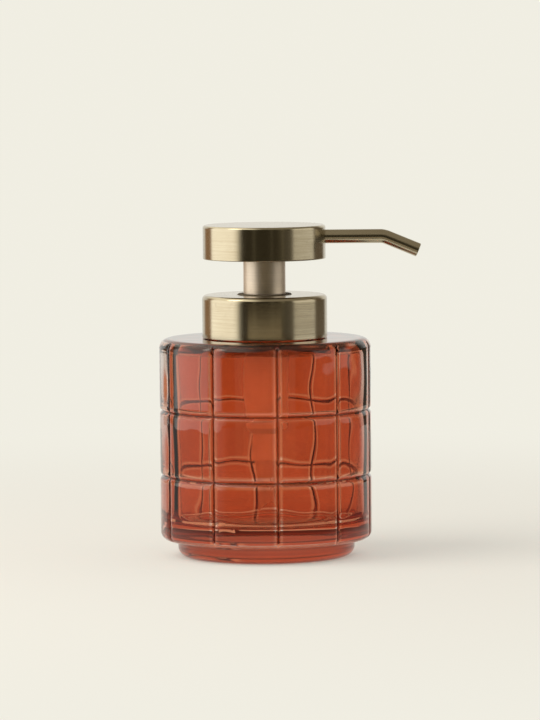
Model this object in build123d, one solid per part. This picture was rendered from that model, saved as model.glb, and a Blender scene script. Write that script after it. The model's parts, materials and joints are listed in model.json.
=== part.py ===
from build123d import *
import math
import os

# Soap pump dispenser: a round glass bottle with a grid of grooves and a push pump in a brass finish.
# Millimetres, +Z up. The bottle stands on z = 0, the pump's axis is Z and the spout points along +X.

# Bottle body
bottle_diameter = 84.0
shoulder_height = 86.8  # flat top of the shoulder above the table
shoulder_radius = 3.8
body_corner = 3.2  # rounding where the side turns under to the foot
glass_wall = 4.0
shoulder_wall = 2.8
floor_height = 14.0  # inside floor above the table
floor_corner = 5.0
inner_shoulder_radius = 3.0
foot_diameter = 70.4
foot_height = 6.8
foot_corner = 4.0
foot_cove = 1.0
punt_diameter = 50.0  # shallow hollow under the base
punt_depth = 2.4
punt_corner = 2.0

# Grooves that divide the side into panels
row_height = 25.8  # from the bottom edge to the first ring groove, and on to the next
ring_groove_count = 2
ring_groove_width = 2.5
ring_groove_depth = 0.9
upright_groove_count = 10
upright_groove_turn = 6.5  # degrees from the front (-Y) towards +X
upright_groove_width = 2.4
upright_groove_depth = 0.8

# Neck and its thread
neck_height = 12.0
neck_bore = 28.0
neck_diameter = 34.9  # at the root of the thread
neck_edge = 0.8
neck_cove = 0.8
thread_pitch = 4.233
thread_depth = 1.2
thread_root_width = 2.0
thread_crest_width = 1.0
thread_turns = 1.5
thread_below_lip = 2.0  # from the lip to the middle of the thread's last turn
cap_thread_turns = 1.25
thread_sink = 0.3  # how far a thread's root is bedded in its wall

# Collar, screw cap and gasket
collar_diameter = 49.6
collar_wall = 0.9
collar_edge = 1.8
collar_hole_edge = 0.3
gasket_thickness = 1.2
gasket_band = 3.2
cap_plate = 1.4
cap_skirt_wall = 1.5
cap_skirt_lift = 1.4  # from the shoulder up to the skirt's lower edge
cap_rib_count = 12
cap_rib_width = 1.4

# Pump housing, lock ring and dip tube
housing_bore = 12.6
housing_wall = 1.7
housing_flange = 1.5
housing_flange_diameter = 34.6
housing_cup_wall = 1.6
housing_cup_floor = 1.6
socket_wall = 1.6
socket_depth = 9.0
lock_wall = 1.85
lock_flange = 1.0
lock_flange_band = 1.9
lock_floor = 1.6
lock_top_rise = 0.4  # above the top of the collar
guide_height = 8.0
guide_wall = 1.65
dip_tube_diameter = 6.8
dip_tube_bore = 4.8
dip_tube_end_gap = 3.5  # from the inside floor to the tube's longer side
dip_tube_cut = 30.0  # degrees of the slanted end
wiper_section = 0.84
wiper_below_guide = 2.4  # from the guide's top to the middle of the wiper

# Piston, spring and valves
stroke = 12.0
stem_diameter = 8.0
stem_bore = 4.4
stem_stop = 1.6
stem_stop_band = 1.3
stem_port = 1.6
seal_height = 6.0
seal_lip = 0.7
seal_waist = 0.8  # how far the middle of the seal is drawn in
plug_head = 1.8
plug_head_diameter = 10.0
plug_shank_length = 6.0
plug_arm = 1.2
spring_length = 22.0
spring_wire = 1.0
spring_diameter = 8.8  # at the middle of the wire
spring_turns = 7
inlet_ball_diameter = 5.0
inlet_ball_lift = 1.0
inlet_ball_room = 0.5
inlet_port = 3.2
inlet_throat = 1.5
inlet_cage_thickness = 1.9
outlet_ball_diameter = 4.0
outlet_ball_lift = 0.8
outlet_ball_room = 0.7
outlet_port = 2.8
outlet_throat = 1.5
outlet_cage_thickness = 1.6
cage_hole_count = 4
cage_hole = 1.2

# Head, sleeve and spout
head_diameter = 48.7
head_height = 13.4
head_wall = 1.0
head_edge = 1.0
head_lower_edge = 0.3
head_gap_pressed = 2.2  # left between head and collar when the pump is pushed right down
base_plate = 1.0
base_plate_recess = 0.4
sleeve_diameter = 16.7
sleeve_wall = 0.7
sleeve_dip = 2.3  # how far the sleeve reaches into the collar at rest
sleeve_grip = 1.4  # how far it passes up through the base plate
spigot_below_plate = 3.0
hub_diameter = 20.0
stem_grip = 2.5  # how far the stem passes above the hub's lower face
core_rim_wall = 1.4
core_rim_height = 5.0
core_rib_count = 6
core_rib_width = 1.6
spout_diameter = 5.5
spout_wall = 0.8
spout_boss_wall = 0.8
spout_below_top = 4.8  # from the top of the head to the spout's axis
spout_start = 5.2  # inner end of the tube, from the pump's axis
spout_bend_reach = 47.4
spout_reach = 61.2  # to the middle of the tip
spout_slope = 22.5  # degrees below level
spout_bend_radius = 8.0
spout_seal_thickness = 1.2

# Clearances
press_gap = 0.05  # radial, between pieces pressed together
slide_gap = 0.08  # radial, between pieces that slide or turn on each other
pass_gap = 0.3  # between moving pieces that only pass each other
sleeve_gap = 0.5  # round the sleeve inside the lock ring
seat_gap = 0.1  # between faces of two bodies that rest on each other
ball_gap = 0.03  # between a ball and its seat
cut_over = 5.0  # how far a cutting tool passes the faces it cuts

# Radii
bottle_radius = bottle_diameter / 2
neck_radius = neck_diameter / 2
neck_bore_radius = neck_bore / 2
collar_radius = collar_diameter / 2
collar_inner_radius = collar_radius - collar_wall
collar_inner_edge = collar_edge - collar_wall
cap_inner_radius = neck_radius + thread_depth + pass_gap
sleeve_radius = sleeve_diameter / 2
sleeve_inner_radius = sleeve_radius - sleeve_wall
stem_radius = stem_diameter / 2
stem_bore_radius = stem_bore / 2
lock_inner_radius = sleeve_radius + sleeve_gap
lock_radius = lock_inner_radius + lock_wall
collar_hole_radius = lock_radius + pass_gap
lock_flange_radius = lock_radius + lock_flange_band
cap_hole_radius = lock_flange_radius + pass_gap
housing_bore_radius = housing_bore / 2
housing_radius = housing_bore_radius + housing_wall
housing_cup_radius = lock_radius + press_gap
dip_tube_radius = dip_tube_diameter / 2
socket_bore_radius = dip_tube_radius + press_gap
socket_radius = socket_bore_radius + socket_wall
head_inner_radius = head_diameter / 2 - head_wall
hub_radius = hub_diameter / 2
spout_radius = spout_diameter / 2
spout_bore_radius = spout_radius - spout_wall
guide_radius = stem_radius + slide_gap

# Heights, from the table up: bottle, collar stack, then the head
lip_height = shoulder_height + neck_height
gasket_bottom = lip_height + seat_gap
flange_bottom = gasket_bottom + gasket_thickness
flange_top = flange_bottom + housing_flange
cap_plate_bottom = flange_top + seat_gap
cap_plate_top = cap_plate_bottom + cap_plate
collar_top = cap_plate_top + collar_wall
collar_bottom = shoulder_height + pass_gap
head_bottom = collar_top + stroke + head_gap_pressed
head_top = head_bottom + head_height
head_ceiling = head_top - head_wall
plate_bottom = head_bottom + base_plate_recess
plate_top = plate_bottom + base_plate
sleeve_bottom = collar_top - sleeve_dip
sleeve_top = plate_top + sleeve_grip
spout_height = head_top - spout_below_top
stem_top = sleeve_top + stem_grip

# Heights inside the pump, from the lock ring down to the dip tube
lock_floor_top = sleeve_bottom - stroke - pass_gap
lock_bottom = lock_floor_top - lock_floor
guide_top = lock_floor_top + guide_height
wiper_height = guide_top - wiper_below_guide
stop_top = lock_bottom - pass_gap
seal_top = stop_top - stem_stop - seat_gap
seal_bottom = seal_top - seal_height
plug_top = seal_bottom - seat_gap
plug_bottom = plug_top - plug_head
spring_top = plug_bottom - seat_gap
spring_bottom = spring_top - spring_length
inlet_cage_bottom = spring_bottom - inlet_cage_thickness


def turned(*corners):
    """Solid of revolution about Z through (radius, height) corners. A third number rounds its corner."""
    points = [corner[:2] for corner in corners]
    radii = [corner[2] if len(corner) > 2 else 0 for corner in corners]
    outline = FilletPolyline(*points, radius=radii, close=True)
    return revolve(Plane.XZ * make_face(outline), Axis.Z)


def rod(radius, bottom, top):
    """Plain round rod on the Z axis between two heights."""
    return Pos(0, 0, bottom) * Cylinder(radius, top - bottom, align=(Align.CENTER, Align.CENTER, Align.MIN))


def washer(inner_radius, outer_radius, bottom, top):
    """Flat ring on the Z axis between two heights."""
    return rod(outer_radius, bottom, top) - rod(inner_radius, bottom - cut_over, top + cut_over)


def around(count, shape, first_angle=0.0):
    """Copies of a shape, evenly turned about the Z axis."""
    return [Rot(0, 0, first_angle + 360 * index / count) * shape for index in range(count)]


def thread_ridge(wall_radius, depth, start_height, turns, first_angle):
    """Helical ridge on a round wall. A negative depth points the ridge inwards."""
    sink = math.copysign(thread_sink, depth)
    half_root = thread_root_width / 2
    half_crest = thread_crest_width / 2
    section = make_face(
        Polyline(
            (wall_radius - sink, -half_root),
            (wall_radius + depth, -half_crest),
            (wall_radius + depth, half_crest),
            (wall_radius - sink, half_root),
            close=True,
        )
    )
    path = Helix(thread_pitch, thread_pitch * turns, wall_radius)
    ridge = sweep(Plane.XZ * section, path=path, is_frenet=True)
    return Pos(0, 0, start_height) * Rot(0, 0, first_angle) * ridge


def groove_tool_radius(width, depth):
    """Radius of the round tool that leaves a groove of this width and depth."""
    return width**2 / (8 * depth) + depth / 2


thread_start = lip_height - thread_below_lip - thread_pitch * thread_turns


def make_bottle():
    """Thick glass bottle with a foot, a threaded neck and grooves that divide its side into panels."""
    inner_radius = bottle_radius - glass_wall
    inner_top = shoulder_height - shoulder_wall
    foot_radius = foot_diameter / 2
    punt_radius = punt_diameter / 2
    glass = turned(
        (0, punt_depth),
        (punt_radius - punt_depth, punt_depth, punt_corner),
        (punt_radius, 0),
        (foot_radius, 0, foot_corner),
        (foot_radius, foot_height, foot_cove),
        (bottle_radius, foot_height, body_corner),
        (bottle_radius, shoulder_height, shoulder_radius),
        (neck_radius, shoulder_height, neck_cove),
        (neck_radius, lip_height, neck_edge),
        (neck_bore_radius, lip_height, neck_edge),
        (neck_bore_radius, inner_top),
        (inner_radius, inner_top, inner_shoulder_radius),
        (inner_radius, floor_height, floor_corner),
        (0, floor_height),
    )
    ring_tool = groove_tool_radius(ring_groove_width, ring_groove_depth)
    ring_path = bottle_radius - ring_groove_depth + ring_tool
    for ring in range(1, ring_groove_count + 1):
        glass -= Pos(0, 0, foot_height + ring * row_height) * Torus(ring_path, ring_tool)
    upright_tool = groove_tool_radius(upright_groove_width, upright_groove_depth)
    upright_path = bottle_radius - upright_groove_depth + upright_tool
    cutter = Pos(upright_path, 0, 0) * rod(upright_tool, 0, shoulder_height)
    glass -= around(upright_groove_count, cutter, upright_groove_turn - 90)
    return glass + thread_ridge(neck_radius, thread_depth, thread_start, thread_turns, 0)


def make_collar():
    """Drawn metal collar that covers the screw cap, with a hole in its top for the pump."""
    return turned(
        (collar_inner_radius, collar_bottom),
        (collar_radius, collar_bottom),
        (collar_radius, collar_top, collar_edge),
        (collar_hole_radius, collar_top, collar_hole_edge),
        (collar_hole_radius, cap_plate_top),
        (collar_inner_radius, cap_plate_top, collar_inner_edge),
    )


def make_screw_cap():
    """Plastic cap inside the collar: a threaded skirt, a top plate and ribs that carry the collar."""
    skirt_bottom = shoulder_height + cap_skirt_lift
    skirt_radius = cap_inner_radius + cap_skirt_wall
    rim_radius = collar_inner_radius - press_gap
    rib_length = rim_radius - cap_inner_radius - cap_skirt_wall / 2
    cap = washer(cap_hole_radius, rim_radius, cap_plate_bottom, cap_plate_top)
    cap += washer(cap_inner_radius, skirt_radius, skirt_bottom, cap_plate_top)
    rib = Pos(rim_radius, 0, skirt_bottom) * Box(
        rib_length, cap_rib_width, cap_plate_top - skirt_bottom, align=(Align.MAX, Align.CENTER, Align.MIN)
    )
    cap += around(cap_rib_count, rib)
    cap &= turned(
        (0, skirt_bottom),
        (rim_radius, skirt_bottom),
        (rim_radius, cap_plate_top, collar_inner_edge + press_gap),
        (0, cap_plate_top),
    )
    return cap + thread_ridge(cap_inner_radius, -thread_depth, thread_start, cap_thread_turns, 180)


def make_gasket():
    """Soft washer between the bottle's lip and the pump's flange."""
    inner_radius = neck_radius - gasket_band
    return washer(inner_radius, neck_radius, gasket_bottom, flange_bottom)


def seat_levels(ball_diameter, ball_lift, cage_bottom):
    """Heights of a valve's ball centre and of its cone's point, under a cage at a given height."""
    ball_radius = ball_diameter / 2
    centre = cage_bottom - seat_gap - ball_lift - ball_radius
    cone_point = centre - math.sqrt(2) * (ball_radius + ball_gap)
    return centre, cone_point


inlet_chamber_radius = inlet_ball_diameter / 2 + inlet_ball_room
inlet_port_radius = inlet_port / 2
inlet_ball_centre, inlet_cone_point = seat_levels(
    inlet_ball_diameter, inlet_ball_lift, inlet_cage_bottom
)
socket_top = inlet_cone_point + inlet_port_radius - inlet_throat
socket_bottom = socket_top - socket_depth

outlet_chamber_radius = outlet_ball_diameter / 2 + outlet_ball_room
outlet_port_radius = outlet_port / 2
outlet_cage_bottom = stem_top - outlet_cage_thickness
outlet_ball_centre, outlet_cone_point = seat_levels(
    outlet_ball_diameter, outlet_ball_lift, outlet_cage_bottom
)


def make_housing():
    """Pump cylinder: a flange, a cup for the lock ring, the bore, the inlet seat and the tube socket."""
    cup_outer_radius = housing_cup_radius + housing_cup_wall
    cup_bottom = lock_bottom - housing_cup_floor
    flange_radius = housing_flange_diameter / 2
    taper_top = inlet_cage_bottom - housing_wall
    taper_bottom = taper_top - (housing_radius - socket_radius)
    return turned(
        (housing_cup_radius, flange_top),
        (flange_radius, flange_top),
        (flange_radius, flange_bottom),
        (cup_outer_radius, flange_bottom),
        (cup_outer_radius, cup_bottom, housing_cup_wall),
        (housing_radius, cup_bottom),
        (housing_radius, taper_top),
        (socket_radius, taper_bottom),
        (socket_radius, socket_bottom),
        (socket_bore_radius, socket_bottom),
        (socket_bore_radius, socket_top),
        (inlet_port_radius, socket_top),
        (inlet_port_radius, inlet_cone_point + inlet_port_radius),
        (inlet_chamber_radius, inlet_cone_point + inlet_chamber_radius),
        (inlet_chamber_radius, inlet_cage_bottom),
        (housing_bore_radius, inlet_cage_bottom),
        (housing_bore_radius, lock_bottom),
        (housing_cup_radius, lock_bottom),
    )


def make_lock_ring():
    """Ring that keeps the piston in the housing: a cup the sleeve dips into and a guide for the stem."""
    guide_outer = guide_radius + guide_wall
    groove_radius = guide_radius + wiper_section + press_gap
    half_groove = wiper_section / 2 + press_gap
    return turned(
        (guide_radius, lock_bottom),
        (lock_radius, lock_bottom),
        (lock_radius, flange_top),
        (lock_flange_radius, flange_top),
        (lock_flange_radius, flange_top + lock_flange),
        (lock_radius, flange_top + lock_flange),
        (lock_radius, collar_top + lock_top_rise),
        (lock_inner_radius, collar_top + lock_top_rise),
        (lock_inner_radius, lock_floor_top),
        (guide_outer, lock_floor_top),
        (guide_outer, guide_top),
        (guide_radius, guide_top),
        (guide_radius, wiper_height + half_groove),
        (groove_radius, wiper_height + half_groove),
        (groove_radius, wiper_height - half_groove),
        (guide_radius, wiper_height - half_groove),
    )


def make_wiper():
    """Small rubber ring in the guide that wipes the stem."""
    section_radius = wiper_section / 2
    return Pos(0, 0, wiper_height) * Torus(guide_radius + section_radius, section_radius)


def make_dip_tube():
    """Tube that draws soap from the floor of the bottle, with a slanted end."""
    bottom = floor_height + dip_tube_end_gap
    tube = washer(dip_tube_bore / 2, dip_tube_radius, bottom, socket_top)
    slant = Plane((-dip_tube_radius, 0, bottom)).rotated((0, -dip_tube_cut, 0))
    return split(tube, bisect_by=slant, keep=Keep.TOP)


def make_stem():
    """Hollow rod that carries the head, with a stop, side ports and the outlet valve's seat."""
    stop_radius = stem_radius + stem_stop_band
    seat_bottom = outlet_cone_point + outlet_port_radius - outlet_throat
    stem = turned(
        (stem_bore_radius, plug_top),
        (stem_radius, plug_top),
        (stem_radius, stop_top - stem_stop),
        (stop_radius, stop_top - stem_stop),
        (stop_radius, stop_top),
        (stem_radius, stop_top),
        (stem_radius, stem_top),
        (outlet_chamber_radius, stem_top),
        (outlet_chamber_radius, outlet_cone_point + outlet_chamber_radius),
        (outlet_port_radius, outlet_cone_point + outlet_port_radius),
        (outlet_port_radius, seat_bottom),
        (stem_bore_radius, seat_bottom),
    )
    port_height = (seal_top + seal_bottom) / 2
    port = Pos(0, 0, port_height) * Rot(90, 0, 0) * Cylinder(stem_port / 2, stem_diameter + cut_over)
    return stem - port


def make_piston_seal():
    """Soft piston ring with a lip at each end and a drawn-in waist."""
    inner_radius = stem_radius + slide_gap
    outer_radius = housing_bore_radius - slide_gap
    waist_radius = outer_radius - seal_waist
    return turned(
        (inner_radius, seal_bottom),
        (outer_radius, seal_bottom),
        (outer_radius, seal_bottom + seal_lip),
        (waist_radius, seal_bottom + seal_lip + seal_waist),
        (waist_radius, seal_top - seal_lip - seal_waist),
        (outer_radius, seal_top - seal_lip),
        (outer_radius, seal_top),
        (inner_radius, seal_top),
    )


def make_stem_plug():
    """Foot of the stem: a head under the seal and a cross-shaped shank that lets soap rise past it."""
    shank_radius = stem_bore_radius - press_gap
    shank_top = plug_top + plug_shank_length
    arms = Sketch() + [Rectangle(2 * shank_radius, plug_arm), Rectangle(plug_arm, 2 * shank_radius)]
    shank = Pos(0, 0, plug_top) * extrude(arms, plug_shank_length)
    shank &= rod(shank_radius, plug_top, shank_top)
    return rod(plug_head_diameter / 2, plug_bottom, plug_top) + shank


def helix_point(quarter):
    """Point and direction of the spring's middle line after a number of quarter turns."""
    angle = quarter * math.pi / 2
    radius = spring_diameter / 2
    rise = (spring_length - spring_wire) / (4 * spring_turns)
    height = spring_bottom + spring_wire / 2 + rise * quarter
    point = Vector(radius * math.cos(angle), radius * math.sin(angle), height)
    run = radius * math.pi / 2
    return point, Vector(-run * math.sin(angle), run * math.cos(angle), rise).normalized()


def arc_pair(start, start_way, end, end_way):
    """Two arcs that join two points and share a tangent where they meet."""
    across = end - start
    a = 2 * (1 - start_way.dot(end_way))
    b = 2 * across.dot(start_way + end_way)
    reach = (math.sqrt(b**2 + 4 * a * across.dot(across)) - b) / (2 * a)
    middle = (start + end + (start_way - end_way) * reach) * 0.5
    middle_way = (end - end_way * reach - start - start_way * reach).normalized()
    return [TangentArc(start, middle, tangent=start_way), TangentArc(middle, end, tangent=middle_way)]


def make_spring():
    """Return spring: round wire swept along a helix of tangent arcs, two to a quarter turn."""
    arcs = []
    for quarter in range(4 * spring_turns):
        arcs += arc_pair(*helix_point(quarter), *helix_point(quarter + 1))
    start, start_way = helix_point(0)
    section = Plane(start, z_dir=start_way) * Circle(spring_wire / 2)
    return sweep(section, path=Wire([edge for arc in arcs for edge in arc.edges()]))


def spring_gap():
    """Least gap between the spring's turns, measured on points along its middle line."""
    points_per_quarter = 4
    half_turn = 2 * points_per_quarter
    count = 4 * points_per_quarter * spring_turns + 1
    points = [helix_point(step / points_per_quarter)[0] for step in range(count)]
    gaps = [
        (points[far] - points[near]).length - spring_wire
        for near in range(count)
        for far in range(near + half_turn, count)
    ]
    return min(gaps)


def make_ball(diameter, centre):
    """Valve ball at its rest height."""
    return Pos(0, 0, centre) * Sphere(diameter / 2)


def make_cage(radius, ball_radius, bottom, top):
    """Holed disc that keeps a valve ball near its seat."""
    hole = Pos(ball_radius, 0, 0) * rod(cage_hole / 2, bottom - cut_over, top + cut_over)
    return rod(radius, bottom, top) - around(cage_hole_count, hole)


def make_sleeve():
    """Metal tube round the stem, between the head and the collar."""
    return washer(sleeve_inner_radius, sleeve_radius, sleeve_bottom, sleeve_top)


def make_head_shell():
    """Drawn metal cup that is pushed down by hand, with a hole in its side for the spout."""
    outer_radius = head_diameter / 2
    shell = turned(
        (0, head_top),
        (0, head_ceiling),
        (head_inner_radius, head_ceiling),
        (head_inner_radius, head_bottom),
        (outer_radius, head_bottom, head_lower_edge),
        (outer_radius, head_top, head_edge),
    )
    return shell - level_rod(spout_radius + press_gap, hub_radius, outer_radius + cut_over)


def level_rod(radius, start, end):
    """Round rod along +X at the spout's height."""
    length = end - start
    return Pos(start, 0, spout_height) * Rot(0, 90, 0) * rod(radius, 0, length)


def make_base_plate():
    """Disc that closes the underside of the head round the sleeve."""
    return washer(sleeve_radius + press_gap, head_inner_radius - press_gap, plate_bottom, plate_top)


def make_head_core():
    """Plastic core of the head: hub, spigot, rim, ribs and the channel from the stem to the spout."""
    rim_radius = head_inner_radius - press_gap
    core = rod(hub_radius, sleeve_top, head_ceiling)
    core += rod(sleeve_inner_radius - press_gap, plate_bottom - spigot_below_plate, sleeve_top)
    core += washer(rim_radius - core_rim_wall, rim_radius, head_ceiling - core_rim_height, head_ceiling)
    rib = Pos(0, 0, head_ceiling) * Box(
        rim_radius - core_rim_wall / 2,
        core_rib_width,
        core_rim_height,
        align=(Align.MIN, Align.CENTER, Align.MAX),
    )
    core += around(core_rib_count, rib)
    boss = level_rod(spout_radius + press_gap + spout_boss_wall, 0, rim_radius)
    core += boss & rod(rim_radius, sleeve_top, head_ceiling)
    core -= rod(stem_radius + press_gap, plate_bottom - spigot_below_plate - cut_over, stem_top)
    core -= rod(spout_bore_radius, stem_top, spout_height)
    core -= level_rod(spout_bore_radius, -spout_bore_radius, spout_start)
    seal_start = spout_start - spout_seal_thickness
    return core - level_rod(spout_radius + press_gap, seal_start, rim_radius + cut_over)


def make_spout_seal():
    """Rubber washer between the spout's inner end and the core."""
    start = spout_start - spout_seal_thickness
    hole = level_rod(spout_bore_radius, start - cut_over, spout_start + cut_over)
    return level_rod(spout_radius, start, spout_start) - hole


def make_spout():
    """Metal tube that runs out level from the head and bends down to its open tip."""
    slope = math.radians(spout_slope)
    drop = (spout_reach - spout_bend_reach) * math.tan(slope)
    path = FilletPolyline(
        (spout_start, 0, spout_height),
        (spout_bend_reach, 0, spout_height),
        (spout_reach, 0, spout_height - drop),
        radius=spout_bend_radius,
    )
    section = Circle(spout_radius) - Circle(spout_bore_radius)
    return sweep(Plane((spout_start, 0, spout_height), z_dir=(1, 0, 0)) * section, path=path)


parts = {
    "bottle": make_bottle(),
    "collar": make_collar(),
    "screw_cap": make_screw_cap(),
    "neck_gasket": make_gasket(),
    "pump_housing": make_housing(),
    "lock_ring": make_lock_ring(),
    "stem_wiper": make_wiper(),
    "dip_tube": make_dip_tube(),
    "inlet_ball": make_ball(inlet_ball_diameter, inlet_ball_centre),
    "inlet_cage": make_cage(
        housing_bore_radius - press_gap, inlet_ball_diameter / 2, inlet_cage_bottom, spring_bottom
    ),
    "return_spring": make_spring(),
    "piston_seal": make_piston_seal(),
    "stem_plug": make_stem_plug(),
    "pump_stem": make_stem(),
    "outlet_ball": make_ball(outlet_ball_diameter, outlet_ball_centre),
    "outlet_cage": make_cage(
        outlet_chamber_radius - press_gap, outlet_ball_diameter / 2, outlet_cage_bottom, stem_top
    ),
    "stem_sleeve": make_sleeve(),
    "head_shell": make_head_shell(),
    "head_base_plate": make_base_plate(),
    "head_core": make_head_core(),
    "spout_tube": make_spout(),
    "spout_seal": make_spout_seal(),
}

os.makedirs("parts", exist_ok=True)
for name, part in parts.items():
    export_step(part, f"parts/{name}.step")

print(f"least gap between spring turns {spring_gap():.2f} mm")
print(f"height {head_top:.1f} mm, collar top {collar_top:.1f} mm, socket bottom {socket_bottom:.1f} mm")
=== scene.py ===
import json
import math
from functools import cache

import bmesh
import bpy
import numpy as np
from bpy.props import FloatProperty, FloatVectorProperty, IntProperty, PointerProperty
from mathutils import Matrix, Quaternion, Vector


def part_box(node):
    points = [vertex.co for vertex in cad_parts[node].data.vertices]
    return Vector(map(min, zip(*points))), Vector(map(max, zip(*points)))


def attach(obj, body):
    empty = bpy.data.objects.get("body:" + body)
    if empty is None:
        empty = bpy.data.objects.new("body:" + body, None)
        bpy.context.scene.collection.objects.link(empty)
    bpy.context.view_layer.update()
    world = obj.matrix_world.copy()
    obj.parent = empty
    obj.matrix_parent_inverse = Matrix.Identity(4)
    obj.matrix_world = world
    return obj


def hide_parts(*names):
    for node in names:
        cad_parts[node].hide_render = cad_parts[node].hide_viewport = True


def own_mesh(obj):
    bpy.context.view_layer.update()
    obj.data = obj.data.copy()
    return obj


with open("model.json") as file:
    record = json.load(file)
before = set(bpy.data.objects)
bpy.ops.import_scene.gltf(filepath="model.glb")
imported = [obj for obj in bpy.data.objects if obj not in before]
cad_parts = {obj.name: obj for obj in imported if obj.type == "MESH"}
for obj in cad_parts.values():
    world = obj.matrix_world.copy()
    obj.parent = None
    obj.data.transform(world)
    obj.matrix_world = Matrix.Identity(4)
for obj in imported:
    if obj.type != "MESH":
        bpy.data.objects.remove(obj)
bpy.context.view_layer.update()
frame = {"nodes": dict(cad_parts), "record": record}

bl_info = {
    "name": "Soap pump dispenser",
    "version": (1, 0, 0),
    "blender": (4, 5, 0),
    "location": "View3D > Sidebar > Dispenser",
    "description": "Glass bottle with a grid of grooves and a push pump in an antique brass finish",
    "category": "Object",
}

FULL_TURN = 2 * math.pi


# Properties


def length(name, default, description):
    """A size in metres."""
    return FloatProperty(
        name=name, description=description, default=default, min=0.0, precision=5, unit="LENGTH"
    )


def angle(name, degrees, description):
    """An angle, written in degrees and kept in radians."""
    return FloatProperty(
        name=name, description=description, default=math.radians(degrees), unit="ROTATION"
    )


def share(name, default, description):
    """A plain number with no unit."""
    return FloatProperty(name=name, description=description, default=default)


def count(name, default, description):
    """A whole number."""
    return IntProperty(name=name, description=description, default=default, min=1)


def tint(name, default, description):
    """A linear colour."""
    return FloatVectorProperty(
        name=name, description=description, default=default, size=3, min=0.0, max=1.0, subtype="COLOR"
    )


class BottleSizes(bpy.types.PropertyGroup):
    """Sizes of the glass that the bottle's box does not give."""

    shoulder_height: length("Shoulder height", 0.0868, "Flat top of the shoulder above the table")
    shoulder_radius: length("Shoulder rounding", 0.0038, "Rounding between the side and the shoulder")
    body_corner: length("Lower rounding", 0.0032, "Rounding where the side turns under to the foot")
    wall: length("Wall", 0.0040, "Thickness of the side")
    shoulder_wall: length("Shoulder wall", 0.0028, "Thickness of the shoulder")
    floor_height: length("Inside floor", 0.0140, "Inside floor above the table")
    floor_corner: length("Floor rounding", 0.0050, "Rounding of the inside floor")
    inner_shoulder: length("Inner shoulder rounding", 0.0030, "Rounding inside under the shoulder")
    foot_radius: length("Foot radius", 0.0352, "Radius of the narrower foot")
    foot_height: length("Foot height", 0.0068, "Height of the foot")
    foot_corner: length("Foot rounding", 0.0040, "Rounding of the foot's lower edge")
    foot_cove: length("Foot cove", 0.0010, "Hollow rounding between foot and body")
    punt_radius: length("Hollow radius", 0.0250, "Radius of the hollow under the base")
    punt_depth: length("Hollow depth", 0.0024, "Depth of the hollow under the base")
    punt_corner: length("Hollow rounding", 0.0020, "Rounding in the hollow under the base")
    punt_edge: length("Hollow edge", 0.0008, "Rounding of the hollow's lower edge")
    neck_radius: length("Neck radius", 0.01745, "Radius of the neck at the root of its thread")
    neck_bore: length("Neck bore", 0.0140, "Radius of the mouth")
    neck_edge: length("Neck rounding", 0.0008, "Rounding of the lip and of the neck's foot")
    thread_pitch: length("Thread pitch", 0.004233, "Rise of the thread in one turn")
    thread_depth: length("Thread depth", 0.0012, "Height of the thread's ridge")
    thread_width: length("Thread width", 0.0020, "Width of the ridge at its root")
    thread_turns: share("Thread turns", 1.5, "Number of turns of the thread")
    thread_below_lip: length("Thread below lip", 0.0020, "From the lip to the thread's last turn")
    row_height: length("Row height", 0.0258, "From one ring groove to the next")
    ring_depth: length("Ring groove depth", 0.0010, "Depth of the two ring grooves")
    ring_width: length("Ring half width", 0.00150, "Half the width of a ring groove")
    upright_depth: length("Upright groove depth", 0.0011, "Depth of the upright grooves")
    upright_count: count("Upright grooves", 10, "Number of upright grooves")
    upright_turn: angle("First upright groove", 6.5, "Turn of the first groove from the front")
    groove_width: length("Groove half width", 0.00070, "Half the width of a groove's steep middle")
    # Lacquer in the grooves is drawn dark as painted shade, and on their lips pale as painted light
    pool_width: length("Pooled lacquer", 0.00092, "Half the width of the lacquer pooled in a groove")
    lip_place: length("Bared lip", 0.00120, "From a groove's bottom to the lip where the lacquer is thin")
    lip_width: length("Groove lip", 0.0026, "From a groove's bottom to where its soft lip ends")
    ripple: length("Inner ripple", 0.00021, "Unevenness of the inner wall of pressed glass")


class MetalSizes(bpy.types.PropertyGroup):
    """Sizes of the drawn metal pieces that their boxes do not give."""

    collar_wall: length("Collar wall", 0.0009, "Thickness of the collar")
    collar_edge: length("Collar rounding", 0.0018, "Rounding of the collar's upper edge")
    collar_hole: length("Collar hole", 0.0110, "Radius of the hole in the collar")
    hem: length("Cut edge", 0.0003, "Rounding of the cut edges")
    head_wall: length("Head wall", 0.0010, "Thickness of the head's shell")
    head_edge: length("Head rounding", 0.0010, "Rounding of the head's upper edge")
    sleeve_wall: length("Sleeve wall", 0.0007, "Thickness of the stem's sleeve")
    spout_wall: length("Spout wall", 0.0008, "Thickness of the spout's tube")
    spout_bend_reach: length("Spout bend", 0.0474, "From the pump's axis to the bend")
    spout_tip_reach: length("Spout tip", 0.0612, "From the pump's axis to the middle of the tip")
    spout_slope: angle("Spout slope", 22.5, "Slope of the spout past its bend")
    spout_bend_radius: length("Bend radius", 0.0080, "Radius of the bend at the tube's middle")


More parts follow.
